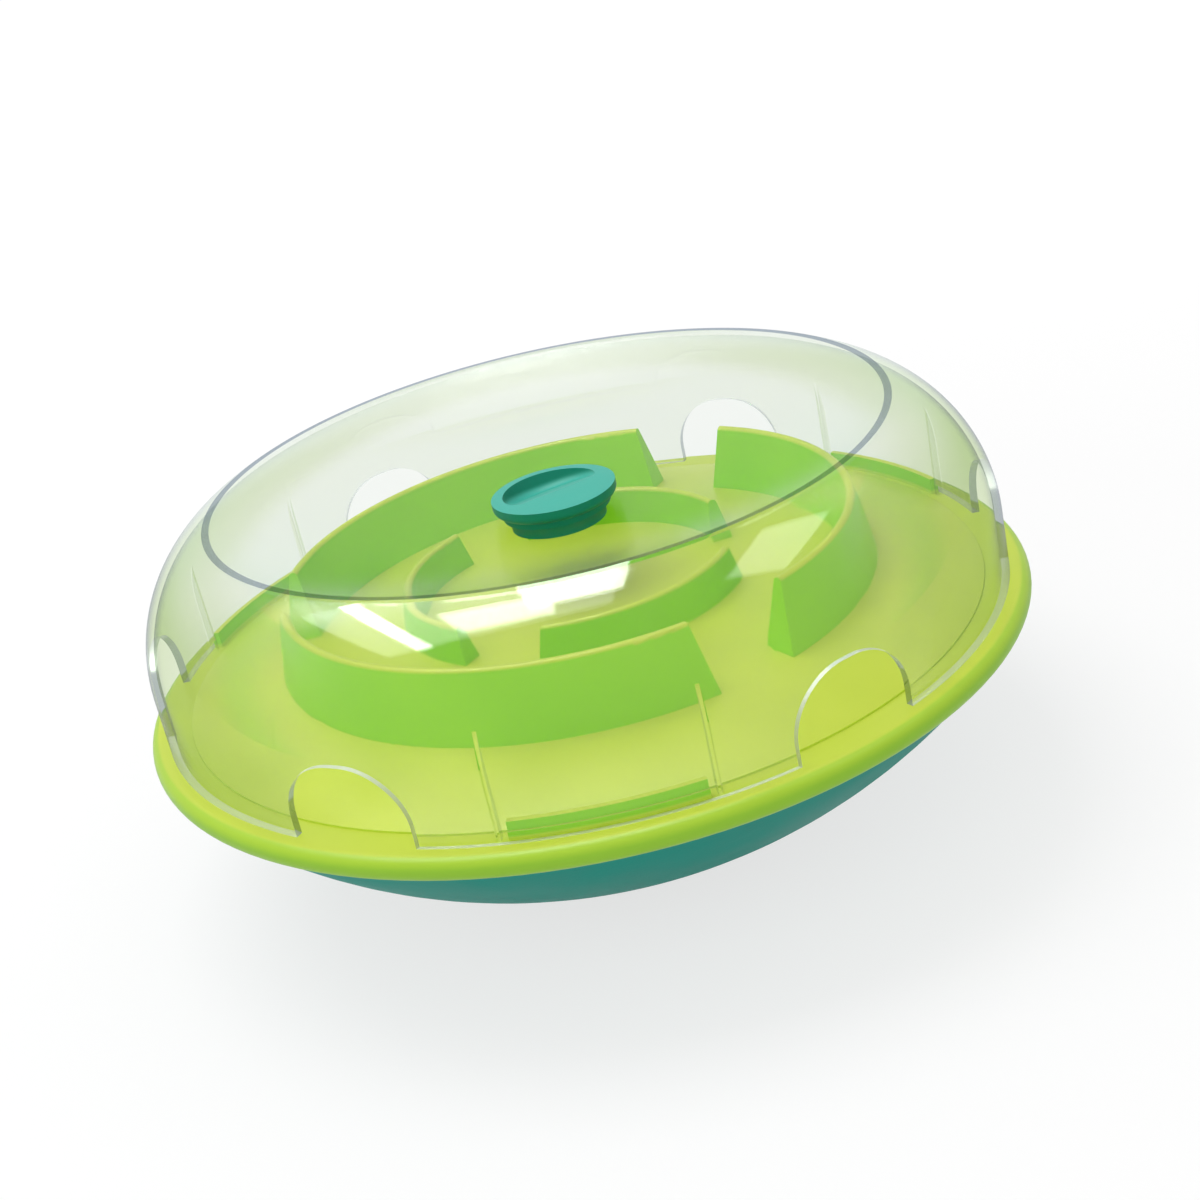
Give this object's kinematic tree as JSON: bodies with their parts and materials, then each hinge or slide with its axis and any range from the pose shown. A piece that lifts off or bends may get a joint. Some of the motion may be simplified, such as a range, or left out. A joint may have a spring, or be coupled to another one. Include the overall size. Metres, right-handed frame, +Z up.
{
  "type": "dog wobble bowl",
  "caption": "Slow-feeder bowl that rocks on a round weighted base, with a maze tray under a clear lift-off lid that has doorways in its skirt and a plugged filling hole in its dished top.",
  "frame": {"origin": "centre of the flat foot under the base", "axes": "+Z up the bowl's axis to the lid, and -Y towards the viewer of the picture"},
  "size_m": [0.28, 0.2798, 0.1286],
  "materials": {
    "base_plastic": "teal moulded plastic, satin",
    "tray_plastic": "lime moulded plastic, smooth",
    "lid_clear": "clear moulded plastic, polished",
    "plug_rubber": "teal soft plastic, matt",
    "cap_rubber": "dark teal soft plastic, matt",
    "seal_rubber": "dark gasket rubber",
    "ballast_iron": "as cast",
    "screw_steel": "zinc plated"
  },
  "bodies": {
    "base": {"rocker_base": "base_plastic", "seal_ring": "seal_rubber", "ballast_weight": "ballast_iron", "ballast_screws": "screw_steel", "maze_tray": "tray_plastic", "tray_screws": "screw_steel", "screw_caps": "cap_rubber"},
    "cover": {"lid": "lid_clear"},
    "plug": {"fill_plug": "plug_rubber"}
  },
  "joints": [
    {"name": "lid_lift", "type": "slide", "parent": "base", "child": "cover", "axis": [0, 0, 1], "range_m": [0, 0.09]},
    {"name": "plug_lift", "type": "slide", "parent": "cover", "child": "plug", "axis": [0, 0, 1], "range_m": [0, 0.04]}
  ]
}
